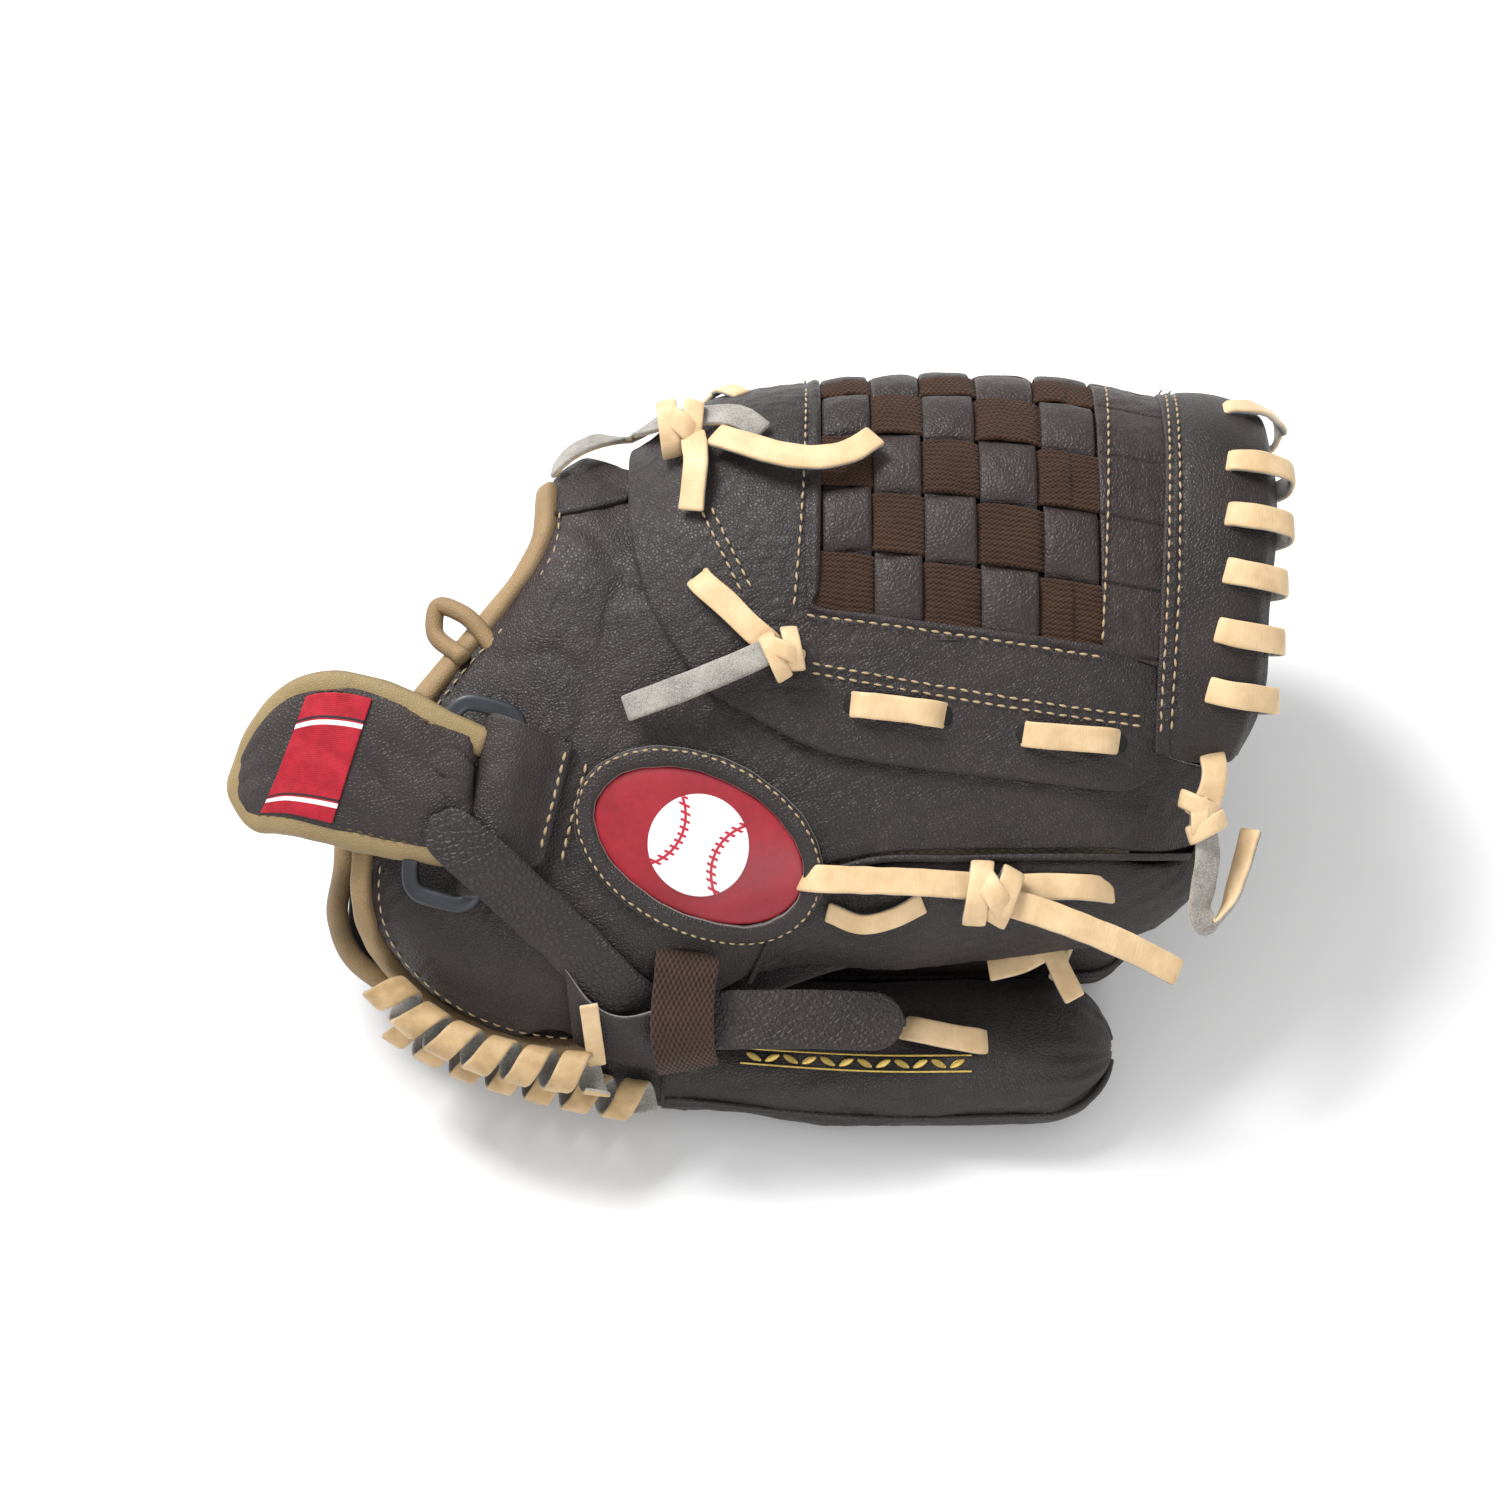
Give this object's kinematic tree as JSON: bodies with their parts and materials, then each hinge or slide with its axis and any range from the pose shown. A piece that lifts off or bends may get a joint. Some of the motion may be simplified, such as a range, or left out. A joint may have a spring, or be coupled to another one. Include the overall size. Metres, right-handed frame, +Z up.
{
  "type": "baseball glove",
  "caption": "Closed left-hand baseball glove with a woven web, laced fingers, padded thumb, oval patch and adjustable wrist strap.",
  "frame": {"origin": "centre of the glove's box, on the plane that its finger backs rest on", "axes": "+X from the wrist to the fingertips, +Z up, -Y towards the open edge of the pocket"},
  "size_m": [0.3159, 0.2218, 0.153],
  "materials": {
    "shell_leather": "dark brown pebbled leather, semi-matt",
    "palm_leather": "dark brown leather, semi-matt",
    "tan_lace": "undyed tan rawhide",
    "tan_binding": "tan leather binding, matt",
    "brown_knit": "ribbed elastic knit",
    "red_patch": "satin red patch",
    "white_print": "raised white print",
    "black_plastic": "moulded, satin",
    "felt": "wool felt and lining"
  },
  "bodies": {
    "fingers_half": {"index_stall": "shell_leather", "middle_stall": "shell_leather", "ring_stall": "shell_leather", "pinkie_stall": "shell_leather", "hand_back_shell": "shell_leather", "palm_finger_side": "palm_leather", "heel_pad_pinkie": "felt", "open_back_binding_far": "tan_binding", "wrist_entry_binding": "tan_binding", "index_web_flange": "shell_leather", "index_web_lace": "tan_lace", "finger_tip_lace": "tan_lace", "pinkie_lace": "tan_lace", "pinkie_heel_lace": "tan_lace"},
    "thumb_half": {"cinch_strap": "shell_leather", "corner_lace": "tan_lace", "corner_lace_knot": "tan_lace", "corner_lace_tail": "tan_lace", "crotch_lace": "tan_lace", "crotch_lace_knot": "tan_lace", "crotch_lace_tail": "tan_lace", "emblem_ball": "white_print", "emblem_border": "shell_leather", "emblem_field": "red_patch", "flange_lace_1": "tan_lace", "flange_lace_2": "tan_lace", "heel_pad_thumb": "felt", "knit_keeper": "brown_knit", "open_back_binding_near": "tan_binding", "palm_thumb_side": "palm_leather", "pocket_lace": "tan_lace", "pocket_lace_knot": "tan_lace", "pocket_lace_tail": "tan_lace", "ring_tab": "shell_leather", "strap_slot_loop": "shell_leather", "thumb_base_panel": "shell_leather", "thumb_heel_binding": "tan_binding", "thumb_heel_lace": "tan_lace", "thumb_liner": "felt", "thumb_loop_knot": "tan_lace", "thumb_loop_lace": "tan_lace", "thumb_loop_tail": "tan_lace", "thumb_lower_panel": "shell_leather", "thumb_upper_panel": "shell_leather", "thumb_welt": "shell_leather", "web_column_panel": "shell_leather", "web_end_band": "shell_leather", "web_knit_layer": "brown_knit", "web_leather_strap_1": "shell_leather", "web_leather_strap_2": "shell_leather", "web_leather_strap_3": "shell_leather", "web_leather_strap_4": "shell_leather", "web_leather_strap_5": "shell_leather", "web_lower_panel": "shell_leather", "web_rim_lace": "tan_lace", "web_side_panel": "shell_leather"},
    "wrist_strap": {"buckle_ring": "black_plastic", "wrist_pad": "shell_leather", "wrist_label": "red_patch"},
    "pull_tab_end": {"pull_tab": "shell_leather"}
  },
  "joints": [
    {"name": "pocket_hinge", "type": "hinge", "parent": "fingers_half", "child": "thumb_half", "pos_m": [-0.0162, 0.04203, 0.03917], "axis": [-0.9555, -0.281, 0.0898], "range_deg": [0, 22]},
    {"name": "strap_swivel", "type": "hinge", "parent": "thumb_half", "child": "wrist_strap", "pos_m": [-0.07789, -0.04838, 0.0925], "axis": [0.258, 0.7914, 0.5542], "range_deg": [0, 5]},
    {"name": "pull_tab_peel", "type": "hinge", "parent": "thumb_half", "child": "pull_tab_end", "pos_m": [-0.0125, -0.09558, 0.05177], "axis": [0, -0.8192, -0.5736], "range_deg": [0, 60]}
  ]
}
